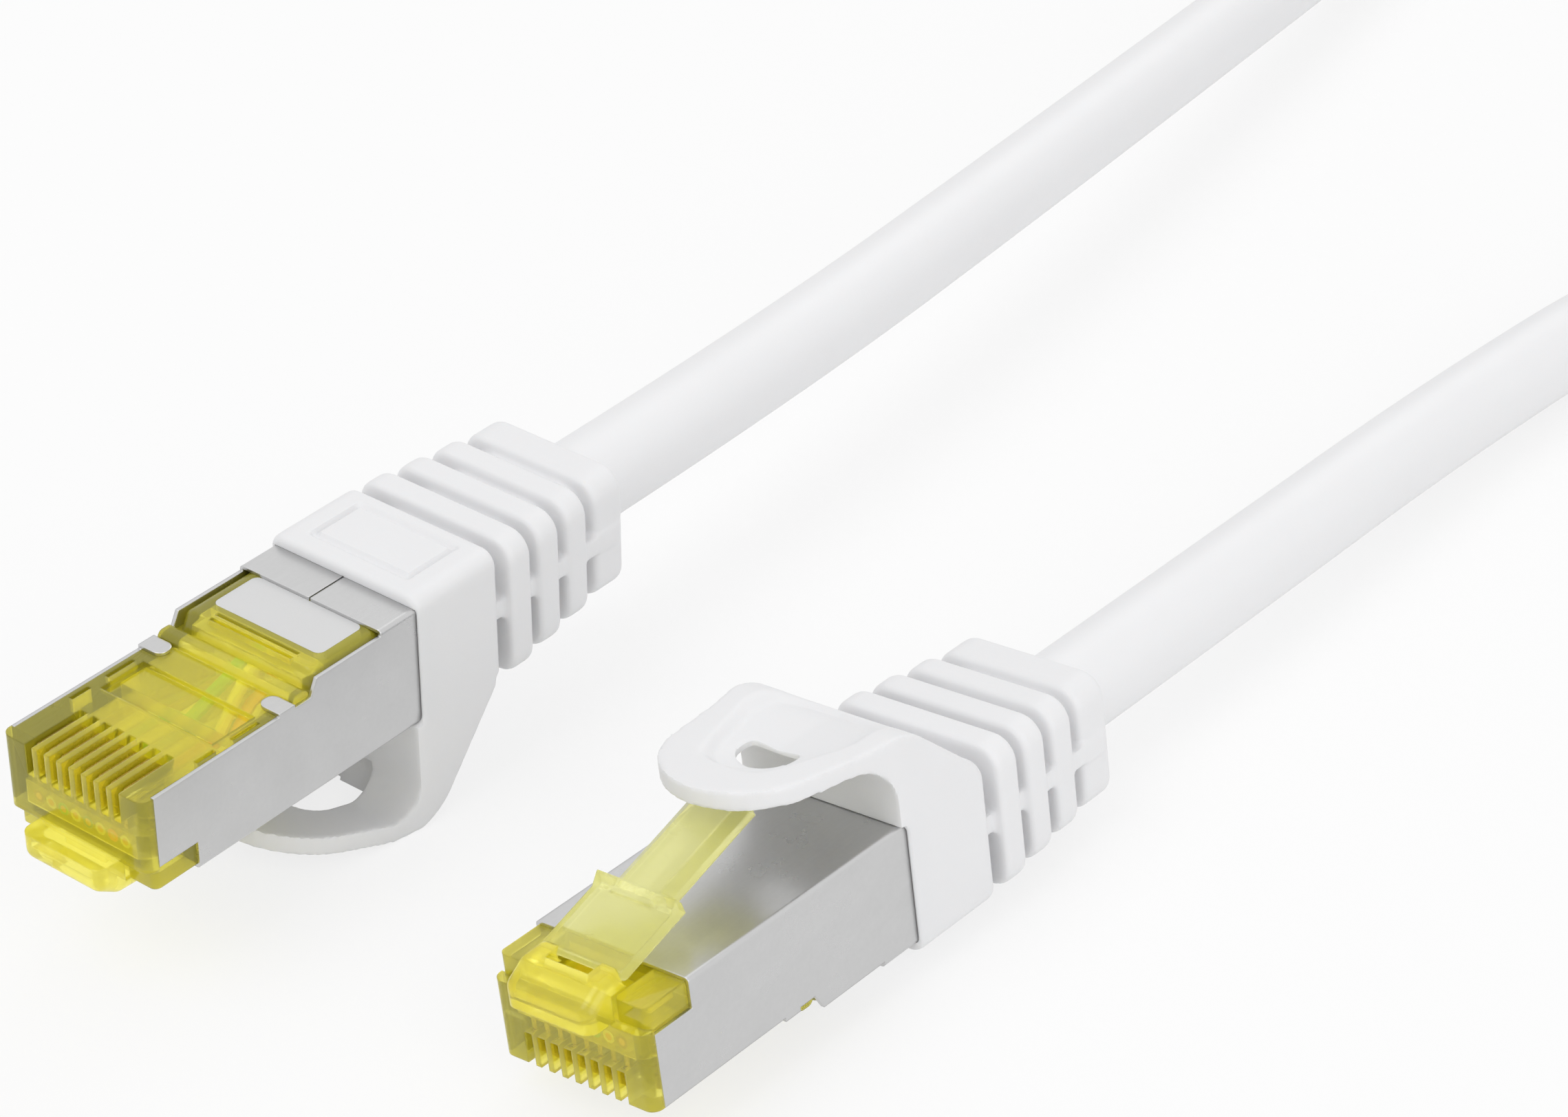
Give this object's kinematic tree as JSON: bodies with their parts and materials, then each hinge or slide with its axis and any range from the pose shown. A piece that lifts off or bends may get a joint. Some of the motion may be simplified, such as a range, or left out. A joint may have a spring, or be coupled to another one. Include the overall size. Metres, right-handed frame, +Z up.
{
  "type": "ethernet patch cable",
  "caption": "Short shielded network patch cable: clear modular plugs in folded metal shields, soft ribbed boots with arched latch guards, and a round white cable.",
  "frame": {"origin": "centre of the base of the pair of plugs, on the table they lie on", "axes": "+X from the plugs' noses along their length towards the cable, +Y from the plug that lies on its contact side to the one that lies on its latch guard, +Z up from the table"},
  "size_m": [0.235, 0.0758, 0.0168],
  "materials": {
    "clear_resin": "clear, glossy",
    "gold_contacts": "plated, bright",
    "copper": "bare drawn wire",
    "pair_foil": "thin bright foil",
    "nickel_sheet": "satin nickel plate",
    "tinned_braid": "fine braid",
    "pale_core": "matte",
    "boot_white": "soft, matte",
    "jacket_white": "smooth, matte",
    "wire_orange": "satin",
    "wire_green": "satin",
    "wire_blue": "satin",
    "wire_brown": "satin",
    "wire_striped": "satin"
  },
  "bodies": {
    "plugs_and_cable": {"plug_housing_a": "clear_resin", "load_bar_a": "clear_resin", "contact_blades_a": "gold_contacts", "conductor_cores_a": "copper", "foil_pairs_a": "pair_foil", "shield_shell_a": "nickel_sheet", "braid_end_a": "tinned_braid", "inner_mould_a": "pale_core", "boot_a": "boot_white", "jacket_end_a": "jacket_white", "wire_orange_a": "wire_orange", "wire_green_a": "wire_green", "wire_blue_a": "wire_blue", "wire_brown_a": "wire_brown", "wires_striped_a": "wire_striped", "plug_housing_b": "clear_resin", "load_bar_b": "clear_resin", "contact_blades_b": "gold_contacts", "conductor_cores_b": "copper", "foil_pairs_b": "pair_foil", "shield_shell_b": "nickel_sheet", "braid_end_b": "tinned_braid", "inner_mould_b": "pale_core", "boot_b": "boot_white", "jacket_end_b": "jacket_white", "wire_orange_b": "wire_orange", "wire_green_b": "wire_green", "wire_blue_b": "wire_blue", "wire_brown_b": "wire_brown", "wires_striped_b": "wire_striped", "cable_lead_a": "jacket_white", "cable_loop": "jacket_white", "cable_lead_b": "jacket_white"},
    "latch_a_body": {"latch_lever_a": "clear_resin"},
    "guard_a_body": {"latch_guard_a": "boot_white"},
    "latch_b_body": {"latch_lever_b": "clear_resin"},
    "guard_b_body": {"latch_guard_b": "boot_white"}
  },
  "joints": [
    {"name": "guard_a", "type": "hinge", "parent": "plugs_and_cable", "child": "guard_a_body", "pos_m": [-0.00397, 0.01649, 0.00065], "axis": [0, 1, 0], "range_deg": [-22.5, 0], "stiffness_Nm_per_rad": 0.02},
    {"name": "latch_a", "type": "hinge", "parent": "plugs_and_cable", "child": "latch_a_body", "pos_m": [-0.02197, 0.01649, 0.00709], "axis": [0, 1, 0], "range_deg": [0, 12], "stiffness_Nm_per_rad": 0.02},
    {"name": "guard_b", "type": "hinge", "parent": "plugs_and_cable", "child": "guard_b_body", "pos_m": [0.00315, -0.01436, 0.01495], "axis": [-0.0319, -0.9891, 0.1437], "range_deg": [0, 22.5], "stiffness_Nm_per_rad": 0.02},
    {"name": "latch_b", "type": "hinge", "parent": "plugs_and_cable", "child": "latch_b_body", "pos_m": [-0.01487, -0.01447, 0.01015], "axis": [-0.0319, -0.9891, 0.1437], "range_deg": [-12, 0], "stiffness_Nm_per_rad": 0.02}
  ],
  "couplings": [
    {"joint": "latch_a", "follows": "guard_a", "ratio": -0.53333},
    {"joint": "latch_b", "follows": "guard_b", "ratio": -0.53333}
  ]
}
